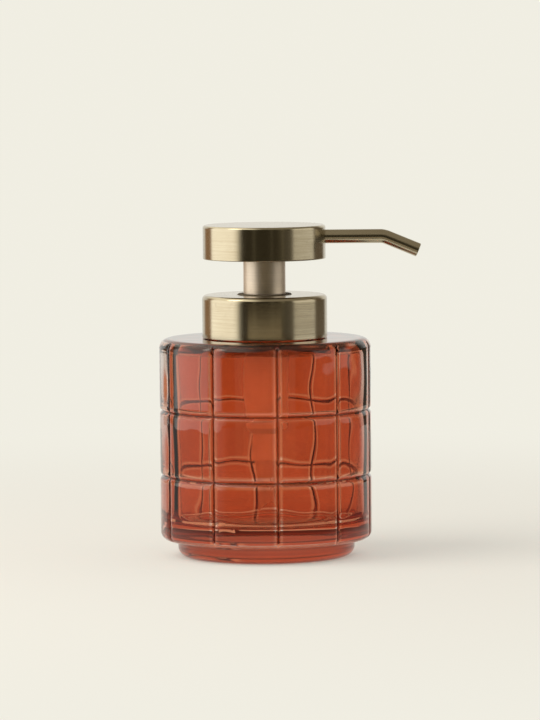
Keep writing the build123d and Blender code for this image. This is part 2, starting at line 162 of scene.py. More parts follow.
class PumpSizes(bpy.types.PropertyGroup):
    """Sizes of the pump inside the bottle that the boxes do not give."""

    flange: length("Flange", 0.0015, "Thickness of the housing's flange")
    cup_radius: length("Cup radius", 0.01235, "Outer radius of the housing's upper cup")
    cup_bore: length("Cup bore", 0.01075, "Inner radius of the upper cup")
    cup_floor: length("Cup floor", 0.0862, "Height of the underside of the upper cup")
    cup_floor_wall: length("Cup floor wall", 0.0016, "Thickness of the upper cup's floor")
    cylinder_radius: length("Cylinder radius", 0.0080, "Outer radius of the pump's cylinder")
    cylinder_bore: length("Cylinder bore", 0.0063, "Inner radius of the pump's cylinder")
    taper_top: length("Taper top", 0.0522, "Where the cylinder starts to taper")
    socket_radius: length("Socket radius", 0.00505, "Outer radius of the dip tube's socket")
    inlet_floor: length("Inlet floor", 0.0539, "Floor of the cylinder's bore")
    inlet_throat: length("Inlet throat", 0.0016, "Radius of the hole under the inlet ball")
    tube_wall: length("Tube wall", 0.0010, "Thickness of the dip tube")
    tube_cut: angle("Tube cut", 30.0, "Slant of the dip tube's lower end")
    ring_bore: length("Ring bore", 0.00885, "Inner radius of the lock ring's cup")
    ring_radius: length("Ring radius", 0.0107, "Outer radius of the lock ring's cup")
    ring_floor: length("Ring floor", 0.0894, "Floor of the lock ring's cup")
    ring_flange: length("Ring flange", 0.1016, "Underside of the lock ring's flange")
    ring_flange_height: length("Ring flange height", 0.0010, "Thickness of the lock ring's flange")
    guide_radius: length("Guide radius", 0.00573, "Outer radius of the stem's guide")
    guide_bore: length("Guide bore", 0.00408, "Inner radius of the stem's guide")
    guide_top: length("Guide top", 0.0974, "Top of the stem's guide")
    spring_wire: length("Spring wire", 0.0010, "Thickness of the spring's wire")
    spring_turns: count("Spring turns", 7, "Turns of the spring")
    stroke: length("Stroke", 0.0120, "How far the head can be pushed")


class FinishColours(bpy.types.PropertyGroup):
    """Colours of the finishes."""

    brass: tint("Brass", (0.50, 0.445, 0.325), "Antique brass where it is bright")
    brass_dark: tint("Brass, dark", (0.40, 0.335, 0.225), "Antique brass where the toning is deeper")
    sleeve: tint("Sleeve", (0.74, 0.635, 0.515), "Toned metal of the stem's sleeve")
    lacquer: tint("Lacquer", (0.465, 0.0615, 0.0168), "Light that two layers of the lacquer let through")
    # Painted pale colour where the view skims the side: painted light at the glass's edge
    lacquer_edge: tint("Lacquer edge", (0.68, 0.58, 0.52), "Lacquer where the view skims the side")
    natural_plastic: tint("Natural plastic", (0.95, 0.93, 0.88), "Unpigmented plastic of the pump")
    dark_plastic: tint("Dark plastic", (0.130, 0.100, 0.065), "Plastic of the lock ring")
    clear_tube: tint("Dip tube", (0.93, 0.91, 0.86), "Clear plastic of the dip tube")
    soft_seal: tint("Seal", (0.62, 0.60, 0.54), "Soft white seals")
    black_rubber: tint("Rubber", (0.022, 0.021, 0.020), "Black rubber rings")
    steel: tint("Steel", (0.60, 0.60, 0.61), "Spring and valve balls")


class StudioSettings(bpy.types.PropertyGroup):
    """Camera, background and light."""

    distance: length("Camera distance", 1.900, "From the pump's axis to the camera")
    camera_side: length("Camera side", 0.00196, "How far right of the axis the camera stands")
    camera_height: length("Camera height", 0.2273, "Camera above the table")
    aim_height: length("Aim height", 0.0778, "Height on the axis that the camera looks at")
    camera_roll: angle("Camera roll", -0.45, "How far the camera is tipped to one side")
    lens_mm: share("Lens", 239.9, "Focal length in millimetres on a 36 mm sensor")
    backdrop: tint("Backdrop", (0.875, 0.855, 0.765), "Cream paper behind the object")
    table: tint("Table", (0.835, 0.805, 0.725), "Cream paper under the object")
    table_radius: length("Table radius", 0.60, "How far the table reaches")
    key_power: share("Key light", 10.5, "Power of the soft lamp on the left, in watts")
    key_size: length("Key size", 1.1, "Width of the soft lamp")
    dome: share("Dome", 0.62, "Even light from all round")


class DispenserSettings(bpy.types.PropertyGroup):
    """All settings of the dispenser."""

    bottle: PointerProperty(type=BottleSizes)
    metal: PointerProperty(type=MetalSizes)
    pump: PointerProperty(type=PumpSizes)
    colours: PointerProperty(type=FinishColours)
    studio: PointerProperty(type=StudioSettings)


def settings():
    """The scene's dispenser settings."""
    return bpy.context.scene.dispenser


# Node trees


class Wire:
    """One output socket. Sums, products and comparisons of wires add Math nodes to the wire's board."""

    def __init__(self, board, socket):
        self.board = board
        self.socket = socket

    def beside(self, name):
        """Another output of the same node."""
        return Wire(self.board, self.socket.node.outputs[name])

    def math(self, operation, first, second):
        """Math node on two wires or numbers."""
        return self.board.node("Math", {"operation": operation}, {0: first, 1: second})

    def __add__(self, other):
        return self.math("ADD", self, other)

    def __radd__(self, other):
        return self.math("ADD", other, self)

    def __sub__(self, other):
        return self.math("SUBTRACT", self, other)

    def __rsub__(self, other):
        return self.math("SUBTRACT", other, self)

    def __mul__(self, other):
        return self.math("MULTIPLY", self, other)

    def __rmul__(self, other):
        return self.math("MULTIPLY", other, self)

    def __truediv__(self, other):
        return self.math("DIVIDE", self, other)

    def __rtruediv__(self, other):
        return self.math("DIVIDE", other, self)

    def __pow__(self, other):
        return self.math("POWER", self, other)

    def __gt__(self, other):
        return self.math("GREATER_THAN", self, other)

    def __lt__(self, other):
        return self.math("LESS_THAN", self, other)


class Board:
    """A node tree that is being filled."""

    def __init__(self, tree):
        self.tree = tree
        tree.nodes.clear()

    def node(self, kind, options=None, sockets=None, out=0):
        """Adds a node, sets its options, then its sockets' values or links, and returns one output.

        kind is the node's type after ShaderNode. Colours are given as three values.
        """
        node = self.tree.nodes.new("ShaderNode" + kind)
        for key, value in (options or {}).items():
            if key == "stops":
                set_stops(node.color_ramp, value)
            else:
                setattr(node, key, value)
        for key, value in (sockets or {}).items():
            socket = node.inputs[key]
            if isinstance(value, Wire):
                self.tree.links.new(value.socket, socket)
            else:
                socket.default_value = (*value, 1.0) if socket.type == "RGBA" else value
        return Wire(self, node.outputs[out]) if node.outputs else node

    def blend(self, factor, first, second):
        """Mix of two colours."""
        return self.node("Mix", {"data_type": "RGBA"}, {"Factor": factor, "A": first, "B": second}, "Result")

    def mixed(self, factor, first, second):
        """Mix of two shaders."""
        return self.node("MixShader", sockets={0: factor, 1: first, 2: second})

    def step(self, value, low, high, start=0.0, end=1.0):
        """Smooth step of a value between two limits."""
        sockets = {"Value": value, "From Min": low, "From Max": high, "To Min": start, "To Max": end}
        return self.node("MapRange", {"interpolation_type": "SMOOTHSTEP"}, sockets)

    def fall(self, value, low, high):
        """Smooth step from 1 down to 0 between two limits."""
        return self.step(value, low, high, 1.0, 0.0)

    def place(self, kind="Object"):
        """Coordinates: the point, then its three values."""
        point = self.node("TexCoord", out=kind)
        x = self.node("SeparateXYZ", sockets={"Vector": point})
        return point, x, x.beside("Y"), x.beside("Z")

    def vector(self, x, y, z):
        """Vector from three values."""
        return self.node("CombineXYZ", sockets={"X": x, "Y": y, "Z": z})

    def noise(self, point, scale, detail=2.0, roughness=0.5):
        """Soft noise between 0 and 1 at a point."""
        sockets = {"Vector": point, "Scale": scale, "Detail": detail, "Roughness": roughness}
        return self.node("TexNoise", sockets=sockets)

    def mark(self, name):
        """Value that the mesh carries at its points."""
        return self.node("Attribute", {"attribute_name": name}, out="Fac")

    def rays(self, *names):
        """Outputs of one Light Path node."""
        path = self.node("LightPath")
        return [path.beside(name) for name in names]

    def bump(self, height, strength, distance):
        """Normal of a surface with small raised detail."""
        return self.node("Bump", sockets={"Height": height, "Strength": strength, "Distance": distance})

    def principled(self, sockets):
        """Principled shader with the given sockets."""
        return self.node("BsdfPrincipled", sockets=sockets)

    def light(self, kind, colour, strength=1.0):
        """Emission or Background shader."""
        return self.node(kind, sockets={"Color": colour, "Strength": strength})


def set_stops(ramp, stops):
    """Gives a colour ramp its (place, colour) stops."""
    while len(ramp.elements) < len(stops):
        ramp.elements.new(1.0)
    for element, (place, colour) in zip(ramp.elements, stops):
        element.position = place
        element.color = (*colour, 1.0)


def new_material(name):
    """An empty material and its board."""
    material = bpy.data.materials.new(name)
    material.use_nodes = True
    return material, Board(material.node_tree)


def finished(material, board, surface):
    """Closes a material with its output node."""
    board.node("OutputMaterial", sockets={"Surface": surface})
    return material


def times(colour, factor):
    """A colour made darker or brighter."""
    return tuple(factor * shade for shade in colour)


def thinned(colour, power):
    """Light through a coat whose thickness is the given share of the usual one."""
    return tuple(shade**power for shade in colour)


# Finishes

# How strongly glass bends light
GLASS_BEND = 1.5
CLEAR = (1.0, 1.0, 1.0)
NO_LIGHT = (0.0, 0.0, 0.0)
# Painted glow in the thick base, standing in for light that it gathers, where it is bare and where the
# lacquer covers it
BARE_BASE_GLOW = (0.090, 0.029, 0.013)
COATED_BASE_GLOW = (0.060, 0.020, 0.010)
# Heights between which the painted pale edge of the side, painted light where the view skims it, grows from
# a faint share to the whole
PAINTED_EDGE_LOW = 0.030
PAINTED_EDGE_HIGH = 0.080
PAINTED_EDGE_FAINT = 0.15
# Layer Weight where that edge is full and where it ends, seen from outside and from within
SKIM_OUTSIDE = (0.046, 0.123)
SKIM_WITHIN = (0.372, 0.421)
# Layer Weight where the painted shade on the shoulder begins and where it is darkest
SHOULDER_SKIM = (0.76, 0.88)
# Changes of the brushing per metre, across its strokes and along them
ACROSS_STROKES = 3000.0
ALONG_STROKES = 25.0


def skimming(board, behind, x, y):
    """1 where the view skims the bottle's round side, seen from outside or through the glass from within.

    Layer Weight is near 0 where the direction round the bottle points along the view. The glass's painted
    pale edge is drawn where this is 1.
    """
    round_way = board.vector(0.0 - y, x, 0.0)
    round_way = board.node("VectorMath", {"operation": "NORMALIZE"}, {0: round_way})
    skim = board.node("LayerWeight", sockets={"Blend": 0.5, "Normal": round_way}, out="Facing")
    return board.fall(skim, *SKIM_OUTSIDE) * (1.0 - behind) + board.fall(skim, *SKIM_WITHIN) * behind


@cache
def amber_glass():
    """Clear glass with an amber-red lacquer on its outside, and faint unevenness on the surface.

    The lacquer is deeper in the grooves, where it gathered, and is drawn darker there still as painted shade
    for the grooves' dark lines. It is also painted darker as shade on the foot, along the shoulder's edge
    and where the view skims the shoulder. It is thin on the grooves' lips and round the shoulder, drawn pale
    there as painted light, and a painted pale edge shows where the view skims the side. From within, the
    glass mirrors where Fresnel says so, with the lacquer's tint and a faint painted glow in the thick base.
    """
    colours, size = settings().colours, settings().bottle
    lacquer, top, floor = colours.lacquer, size.shoulder_height, size.floor_height
    material, board = new_material("amber_glass")
    point, x, y, z = board.place()
    behind = board.node("NewGeometry", out="Backfacing")
    coat = board.mark("lacquer")
    patches = board.step(board.noise(point, 45.0), 0.3, 0.7)
    tone = board.blend(patches, times(lacquer, 0.92), times(lacquer, 1.08))
    # Painted pale edge: the lacquer is drawn lighter where the view skims the side, as light there
    pale = skimming(board, behind, x, y) * board.step(z, PAINTED_EDGE_LOW, PAINTED_EDGE_HIGH, PAINTED_EDGE_FAINT)
    tone = board.blend(pale, tone, colours.lacquer_edge)

    # Painted shade where the view skims the shoulder's top
    slant = board.node("LayerWeight", sockets={"Blend": 0.5}, out="Facing")
    on_top = board.step(z, top - 0.0004, top - 0.0001)
    painted_shoulder_shade = on_top * board.step(slant, *SHOULDER_SKIM) * (1.0 - behind)
    # Lacquer gathered deeper in the grooves, with painted shade for the grooves' lines, the foot and the
    # shoulder's edge
    pooled = board.step(board.mark("pooled"), 0.1, 0.8)
    pooled = pooled + painted_shoulder_shade - pooled * painted_shoulder_shade
    deep_lacquer_and_shade = times(lacquer, 0.12)
    tone = board.blend(pooled, tone, deep_lacquer_and_shade)
    # Thin lacquer on the lips and round the shoulder, drawn pale as painted light
    tone = board.blend(board.step(board.mark("bared"), 0.1, 0.9), tone, thinned(lacquer, 0.35))
    haze = board.step(board.noise(point, 90.0, 3.0), 0.35, 0.75)
    surface = board.principled(
        {
            "Base Color": board.blend(coat, CLEAR, tone),
            "Roughness": haze * 0.02,
            "IOR": GLASS_BEND,
            "Transmission Weight": 1.0,
            "Normal": board.bump(board.noise(point, 70.0, 1.0), 0.10, 0.0010),
        }
    )

    # Painted glow in the thick base, shown where the glass mirrors from within
    in_base = board.fall(z, floor - 0.0010, floor + 0.0025)
    glow = board.blend(coat, BARE_BASE_GLOW, COATED_BASE_GLOW)
    inner_mirror = board.principled(
        {
            "Base Color": board.blend(pooled, thinned(lacquer, 0.3), deep_lacquer_and_shade),
            "Metallic": 1.0,
            "Roughness": 0.02,
            "Emission Color": board.blend(in_base, NO_LIGHT, glow),
            "Emission Strength": 1.0,
        }
    )
    fresnel = board.node("Fresnel", sockets={"IOR": GLASS_BEND})
    tinted = coat + in_base - coat * in_base
    mirrored = tinted * behind * board.step(fresnel, 0.7, 0.98)
    return finished(material, board, board.mixed(mirrored, surface, inner_mirror))


def brushed_metal(name, bright, dark, lines, roughness):
    """Toned metal with fine brushing. lines gives the point at which the brushing's noise is read."""
    material, board = new_material(name)
    point, x, y, z = board.place()
    strokes = board.noise(lines(board, x, y, z), 1.0, 3.0, 0.65)
    toning = board.step(board.noise(point, 55.0, 3.0), 0.30, 0.72)
    stain = board.step(board.noise(point, 420.0), 0.62, 0.80)
    streak = board.step(strokes, 0.30, 0.70)
    colour = board.blend(toning * 0.40 + streak * 0.45, bright, dark)
    surface = board.principled(
        {
            "Base Color": board.blend(stain * 0.12, colour, times(dark, 0.6)),
            "Metallic": 1.0,
            "Roughness": roughness + strokes * 0.10 + stain * 0.05,
            "Normal": board.bump(strokes, 0.16, 0.00006),
        }
    )
    return finished(material, board, surface)


def spun_lines(board, x, y, z):
    """Brushing that runs round the pump's axis: it changes fast up the side and out along a flat."""
    radius = (x * x + y * y) ** 0.5
    return board.vector((z + radius) * ACROSS_STROKES, x * ALONG_STROKES, y * ALONG_STROKES)


def drawn_lines(board, x, y, z):
    """Brushing that runs along the spout."""
    return board.vector(x * ALONG_STROKES, y * ACROSS_STROKES, z * ACROSS_STROKES)


@cache
def spun_brass():
    """Antique brass, brushed round the pump's axis."""
    colours = settings().colours
    return brushed_metal("antique_brass_spun", colours.brass, colours.brass_dark, spun_lines, 0.12)


@cache
def drawn_brass():
    """Antique brass, brushed along the spout."""
    colours = settings().colours
    return brushed_metal("antique_brass_drawn", colours.brass, colours.brass_dark, drawn_lines, 0.14)


@cache
def sleeve_metal():
    """Duller, paler metal of the stem's sleeve."""
    bright = settings().colours.sleeve
    return brushed_metal("antique_brass_sleeve", bright, times(bright, 0.8), spun_lines, 0.40)


# Moulded finishes: roughness, grain per metre, depth of the grain, how clear, bend of light, shine
MOULDED = {
    "natural_plastic": (0.50, 1400.0, 0.00003, 0.20, 1.4, 0.5),
    "dark_plastic": (0.66, 2200.0, 0.00004, 0.0, 1.45, 0.15),
    "clear_tube": (0.36, 700.0, 0.00002, 0.35, 1.3, 0.5),
    "soft_seal": (0.62, 2600.0, 0.00003, 0.0, 1.45, 0.5),
    "black_rubber": (0.58, 2600.0, 0.00004, 0.0, 1.45, 0.5),
}


@cache
def moulded(name):
    """Moulded plastic or rubber: cloudy colour, fine grain and a sheen that varies a little."""
    roughness, grain_scale, grain_depth, clear, bend, shine = MOULDED[name]
    colour = getattr(settings().colours, name)
    material, board = new_material(name)
    point = board.place()[0]
    cloud = board.noise(point, 160.0, 3.0)
    grain = board.noise(point, grain_scale)
    pale = tuple(min(1.0, shade) for shade in times(colour, 1.05))
    surface = board.principled(
        {
            "Base Color": board.blend(cloud, times(colour, 0.90), pale),
            "Roughness": roughness - 0.06 + grain * 0.12,
            "IOR": bend,
            "Specular IOR Level": shine,
            "Transmission Weight": clear,
            "Normal": board.bump(grain, 0.25, grain_depth),
        }
    )
    return finished(material, board, surface)


@cache
def spring_steel():
    """Bright steel with fine drawing marks."""
    material, board = new_material("spring_steel")
    steel = settings().colours.steel
    _, x, y, z = board.place()
    marks = board.noise(board.vector(x * 400.0, y * 400.0, z * 5000.0), 1.0)
    surface = board.principled(
        {
            "Base Color": board.blend(marks, times(steel, 0.86), steel),
            "Metallic": 1.0,
            "Roughness": 0.16 + marks * 0.16,
            "Normal": board.bump(marks, 0.10, 0.00002),
        }
    )
    return finished(material, board, surface)


# Surfaces

# Straight run beside a rounding that gets a point of its own, in metres and at most as a share of the run
GUARD = 0.0003
GUARD_SHARE = 0.2
# Points closer than this are one point, and lengths under the next one count as none
MERGE = 1e-7
TINY = 1e-12


def smooth_step(value, low, high):
    """0 below low, 1 above high, with an S-shaped rise between them."""
    t = np.clip((value - low) / (high - low), 0.0, 1.0)
    return t * t * (3.0 - 2.0 * t)


def unit(vectors):
    """Rows of an array brought to length 1, and their lengths."""
    lengths = np.linalg.norm(vectors, axis=1)
    return vectors / np.maximum(lengths, TINY)[:, None], lengths


def rounded(corners, closed=True, edge=0.0, arc_points=8):
    """Line through (radius, height, rounding) corners. A corner without a rounding gets edge.

    Each corner becomes an arc tangent to its two sides: the arc's middle lies on the corner's bisector at
    rounding / sin(half the corner's angle), and points turn evenly from one side to the other. One more
    point on each side, a guard's length from the arc, keeps the straight runs flat in the shading.
    An open line keeps its two end points as they are.
    """
    corner = np.array([(*c, edge)[:3] for c in corners])
    points, rounding = corner[:, :2], corner[:, 2]
    before, run_before = unit(np.roll(points, 1, axis=0) - points)
    after, run_after = unit(np.roll(points, -1, axis=0) - points)
    half = np.arccos(np.clip((before * after).sum(axis=1), -0.9999, 0.9999)) / 2
    bisector = unit(before + after)[0]
    reach = rounding / np.tan(half)
    middle = points + bisector * (rounding / np.sin(half))[:, None]
    start = points + before * reach[:, None] - middle
    end = points + after * reach[:, None] - middle
    turn = (np.pi - 2 * half)[:, None]
    part = np.linspace(0.0, 1.0, arc_points)[None, :]
    weight_start = np.sin((1 - part) * turn) / np.sin(turn)
    weight_end = np.sin(part * turn) / np.sin(turn)
    arcs = middle[:, None] + weight_start[..., None] * start[:, None] + weight_end[..., None] * end[:, None]
    first = arcs[:, 0] + before * np.minimum(GUARD, GUARD_SHARE * run_before)[:, None]
    last = arcs[:, -1] + after * np.minimum(GUARD, GUARD_SHARE * run_after)[:, None]
    line = np.concatenate([first[:, None], arcs, last[:, None]], axis=1)
    if closed:
        return line.reshape(-1, 2)
    return np.concatenate([points[:1], line[1:-1].reshape(-1, 2), points[-1:]])


def respaced(line, spacing):
    """Points along a line whose spacing follows an array given at the line's own points.

    The line's length is weighted by one over the spacing, and the weighted length is cut into even steps.
    """
    run = np.linalg.norm(np.diff(line, axis=0), axis=1)
    along = np.concatenate([[0.0], np.cumsum(run)])
    weight = 2.0 / (spacing[1:] + spacing[:-1])
    steps = np.concatenate([[0.0], np.cumsum(run * weight)])
    place = np.interp(np.linspace(0.0, steps[-1], math.ceil(steps[-1]) + 1), steps, along)
    return np.stack([np.interp(place, along, column) for column in line.T], axis=1)


def turned(line, segments):
    """Surface of revolution: each point (r, h) of the line goes round Z as (r cos a, r sin a, h)."""
    around = np.linspace(0.0, FULL_TURN, segments, endpoint=False)
    radius, height = line[:, 0, None], line[:, 1, None]
    return np.stack([radius * np.cos(around), radius * np.sin(around), height + 0.0 * around], axis=-1)


def carried(centre, across, up, radius, sides):
    """Rings along a path: centre + radius (across cos a + up sin a) at each point of the path."""
    around = np.linspace(0.0, FULL_TURN, sides, endpoint=False)[None, :, None]
    ring = across[:, None] * np.cos(around) + up[:, None] * np.sin(around)
    return centre[:, None] + radius[:, None, None] * ring


def linked(name, data):
    """New object with the given data, in the scene's own collection."""
    made = bpy.data.objects.new(name, data)
    bpy.context.scene.collection.objects.link(made)
    return made


def grid_object(name, points, closed=True, marks=None):
    """Mesh object from a grid of rows and columns.

    Columns join round to the first, and rows too where the grid is closed. Rows drawn to a point are
    merged into a pole, and faces are turned outwards. marks are named values, one at each grid point.
    """
    rows, columns = points.shape[:2]
    index = np.arange(rows * columns).reshape(rows, columns)
    right = np.roll(index, -1, axis=1)
    if closed:
        corners = (index, right, np.roll(right, -1, axis=0), np.roll(index, -1, axis=0))
    else:
        corners = (index[:-1], right[:-1], right[1:], index[1:])
    quads = np.stack([c.ravel() for c in corners], axis=1)
    mesh = bpy.data.meshes.new(name)
    mesh.from_pydata(points.reshape(-1, 3), [], quads.tolist())
    for key, values in (marks or {}).items():
        attribute = mesh.attributes.new(key, "FLOAT", "POINT")
        attribute.data.foreach_set("value", values.astype(np.float32).ravel())
    work = bmesh.new()
    work.from_mesh(mesh)
    bmesh.ops.remove_doubles(work, verts=work.verts, dist=MERGE)
    bmesh.ops.recalc_face_normals(work, faces=work.faces)
    work.to_mesh(mesh)
    work.free()
    mesh.polygons.foreach_set("use_smooth", np.ones(len(mesh.polygons), dtype=bool))
    mesh.update()
    return linked(name, mesh)


def fitted(piece, body, node, material):
    """Gives a piece its material, hangs it on its body's empty and hides the CAD node that it replaces."""
    piece.data.materials.append(material)
    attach(piece, body)
    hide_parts(node)
    return piece


def turned_piece(name, corners, edge, segments, closed=True):
    """Round piece from the corners of its section."""
    return grid_object(name, turned(rounded(corners, closed, edge), segments), closed)


def reach_of(node):
    """Outer radius, bottom and top of a round node from its box."""
    low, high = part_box(node)
    return high.y, low.z, high.z


def ring_corners(inner, outer, bottom, top):
    """Corners of a plain ring's section."""
    return [(inner, bottom), (outer, bottom), (outer, top), (inner, top)]


# Bottle

# Grid spacing in metres: first fine line, plain walls, roundings, neck, round the body, groove bottoms
FINE_STEP = 0.00005
WALL_STEP = 0.00210
CURVE_STEP = 0.00050
NECK_STEP = 0.00042
ROUND_STEP = 0.00190
GROOVE_STEP = 0.00012
# From a groove's bottom to where the grid starts to widen, and to where it is as wide as on a plain wall
GROOVE_GRID = (0.00045, 0.0032)
# Points on each side over which the section's spacing is evened out, and points of the fine circle
EVENED = 7
CIRCLE_POINTS = 4001
# Curvature, per metre, above which a run of the section counts as a rounding
SHARP = 60.0
# How far in from the side the grooved band reaches over the roundings
SIDE_BAND = 0.006
# Radius outside which the inside of the glass counts as its wall
INNER_WALL = 0.028
# Glass this close to the neck's radius is the neck's outer wall
NECK_NEAR = 0.0001
# Share of a groove's depth that its steep middle takes
UPRIGHT_STEEP = 0.52
RING_STEEP = 0.30
# How far out the glass has to face for the grooves to begin and to be full, over the side and under it
UPPER_FADE = (0.62, 0.88)
LOWER_FADE = (0.25, 0.85)
# How far in it has to face for the inner wall's waves to begin and to be full
INNER_FADE = (0.2, 0.9)
# Slow waves of the inner wall: height, waves round, radians per metre up, start
WAVES = (
    (0.9, 3, 95.0, 0.6),
    (0.8, 7, -170.0, 2.1),
    (0.7, 11, 240.0, 4.0),
    (0.6, 5, -310.0, 1.3),
    (0.5, 16, 60.0, 5.2),
)
# What the sum of the waves is divided by
WAVES_HEIGHT = 2.2
# The grooves' soft echo on the inner wall, in metres
ECHO_WIDTH = 0.0038
UPRIGHT_ECHO = 0.00055
RING_ECHO = 0.00040
# Share of a turn over which the thread's ends fade
THREAD_FADE = 0.08
# From the middle of the thread's ridge to the end of its level top and to its foot, as shares of its width
THREAD_TOP = 0.22
THREAD_FOOT = 0.55
# How far down the glass has to face for the lacquer to thin out and to end, on the foot and on the body
FOOT_BARE = (0.85, 0.98)
BODY_BARE = (0.44, 0.62)
# How dark the painted shade on the foot is, and the heights where that begins and is full
FOOT_SHADE = 0.42
FOOT_SHADE_RISE = (0.0015, 0.0045)
# How dark the painted shade along the shoulder's edge is, and how far up the glass faces where that begins
# and ends
SHOULDER_SHADE = 0.85
SHOULDER_SHADE_BEGINS = (0.70, 0.86)
SHOULDER_SHADE_ENDS = (0.985, 0.9995)
# How far below the shoulder's top its line of thin lacquer runs, as a share of the rounding; that line is
# drawn pale as painted light
SHOULDER_LIP = 0.36


def side_and_lip():
    """Radius of the bottle's side and height of its lip, from its box."""
    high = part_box("bottle")[1]
    return min(high.x, high.y), high.z


def bottle_line():
    """Fine line round half a section of the glass, from the middle of its underside to its inside floor."""
    size = settings().bottle
    side, lip = side_and_lip()
    inner, inner_top = side - size.wall, size.shoulder_height - size.shoulder_wall
    corners = [
        (0, size.punt_depth),
        (size.punt_radius - size.punt_depth, size.punt_depth, size.punt_corner),
        (size.punt_radius, 0, size.punt_edge),
        (size.foot_radius, 0, size.foot_corner),
        (size.foot_radius, size.foot_height, size.foot_cove),
        (side, size.foot_height, size.body_corner),
        (side, size.shoulder_height, size.shoulder_radius),
        (size.neck_radius, size.shoulder_height, size.neck_edge),
        (size.neck_radius, lip, size.neck_edge),
        (size.neck_bore, lip, size.neck_edge),
        (size.neck_bore, inner_top, 2 * size.neck_edge),
        (inner, inner_top, size.inner_shoulder),
        (inner, size.floor_height, size.floor_corner),
        (0, size.floor_height),
    ]
    coarse = rounded(corners, closed=False, arc_points=40)
    return respaced(coarse, np.full(len(coarse), FINE_STEP))


def outward(line):
    """Unit normals of a line in its plane, to the right of the way it runs."""
    way = unit(np.gradient(line, axis=0))[0]
    return np.stack([way[:, 1], -way[:, 0]], axis=1)


def valley(distance, width):
    """Parabola that is 1 at a groove's bottom and runs out level at the given half width."""
    blunt = 0.06
    return np.clip(1.0 - np.hypot(distance / width, blunt), 0.0, None) ** 2 / (1.0 - blunt) ** 2


def upright_groove(distance):
    """Section of an upright groove: a steep valley in the middle and a wide one for its lips."""
    size = settings().bottle
    steep = UPRIGHT_STEEP * valley(distance, size.groove_width)
    return steep + (1.0 - UPRIGHT_STEEP) * valley(distance, size.lip_width)


def ring_groove(distance):
    """Section of a ring groove: one wave of a cosine for its lips, with a steep valley in the middle."""
    size = settings().bottle
    reach = np.clip(distance / size.ring_width, 0.0, 1.0)
    wave = 0.5 + 0.5 * np.cos(np.pi * reach)
    return (1.0 - RING_STEEP) * wave + RING_STEEP * valley(distance, size.groove_width)


def groove_spacing(distance, coarse):
    """Grid spacing that is fine at a groove's bottom and grows to a coarse one past its lips."""
    return GROOVE_STEP + (coarse - GROOVE_STEP) * smooth_step(distance, *GROOVE_GRID)


def neck_wall(radius, height):
    """Where the glass is the neck's outer wall."""
    size = settings().bottle
    return (np.abs(radius - size.neck_radius) < NECK_NEAR) & (height > size.shoulder_height)


def section_line(side):
    """Points round the glass's section, close together on roundings, at ring grooves and on the neck."""
    fine = bottle_line()
    facing = outward(fine)
    radius, height = fine.T
    on_side = (radius > side - SIDE_BAND) & (facing[:, 0] > 0)
    curve = np.linalg.norm(np.gradient(facing, axis=0), axis=1) / FINE_STEP
    spacing = np.where(curve > SHARP, CURVE_STEP, WALL_STEP)
    near_ring = groove_spacing(ring_distance(height), WALL_STEP)
    spacing = np.where(on_side, np.minimum(spacing, near_ring), spacing)
    spacing = np.where(neck_wall(radius, height), NECK_STEP, spacing)
    kernel = np.full(2 * EVENED + 1, 1.0 / (2 * EVENED + 1))
    return respaced(fine, np.convolve(np.pad(spacing, EVENED, mode="edge"), kernel, mode="valid"))


def ring_distance(height):
    """Distance up the side from each height to the nearer of the two ring grooves."""
    size = settings().bottle
    lower = size.foot_height + size.row_height
    return np.minimum(np.abs(height - lower), np.abs(height - lower - size.row_height))


def upright_distance(around, side):
    """Distance round the side from each angle to the nearest upright groove."""
    size = settings().bottle
    grooves = size.upright_turn + FULL_TURN * np.arange(size.upright_count) / size.upright_count
    return np.abs((around[:, None] - grooves + np.pi) % FULL_TURN - np.pi).min(axis=1) * side


def round_angles(side):
    """Angles round the bottle, close together at the upright grooves."""
    circle = np.linspace(0.0, FULL_TURN, CIRCLE_POINTS)
    spacing = groove_spacing(upright_distance(circle, side), ROUND_STEP) / side
    return respaced(circle[:, None], spacing)[:-1, 0]


def inner_push(around, height, gap, ring_gap):
    """How far the inner wall is pushed in: a sum of slow waves and a soft echo of each groove."""
    wave = sum(tall * np.sin(waves * around + rise * height + start) for tall, waves, rise, start in WAVES)
    echo = UPRIGHT_ECHO * np.exp(-((gap / ECHO_WIDTH) ** 2))
    echo = echo + RING_ECHO * np.exp(-((ring_gap / ECHO_WIDTH) ** 2))
    return settings().bottle.ripple * wave / WAVES_HEIGHT + echo


def thread_ridge(around, height, lip):
    """Height of the neck's thread: a band along a helix, level on top and faded out at its two ends."""
    size = settings().bottle
    start = lip - size.thread_below_lip - size.thread_pitch * size.thread_turns
    whole = np.arange(-1, math.ceil(size.thread_turns) + 1)[:, None, None]
    turns = whole + (around - np.pi / 2) % FULL_TURN / FULL_TURN
    off = np.abs(height - (start + size.thread_pitch * turns))
    crest = 1.0 - smooth_step(off / size.thread_width, THREAD_TOP, THREAD_FOOT)
    begins = smooth_step(turns, 0.0, THREAD_FADE)
    ends = smooth_step(turns, size.thread_turns - THREAD_FADE, size.thread_turns)
    return size.thread_depth * (crest * begins * (1.0 - ends)).max(axis=0)


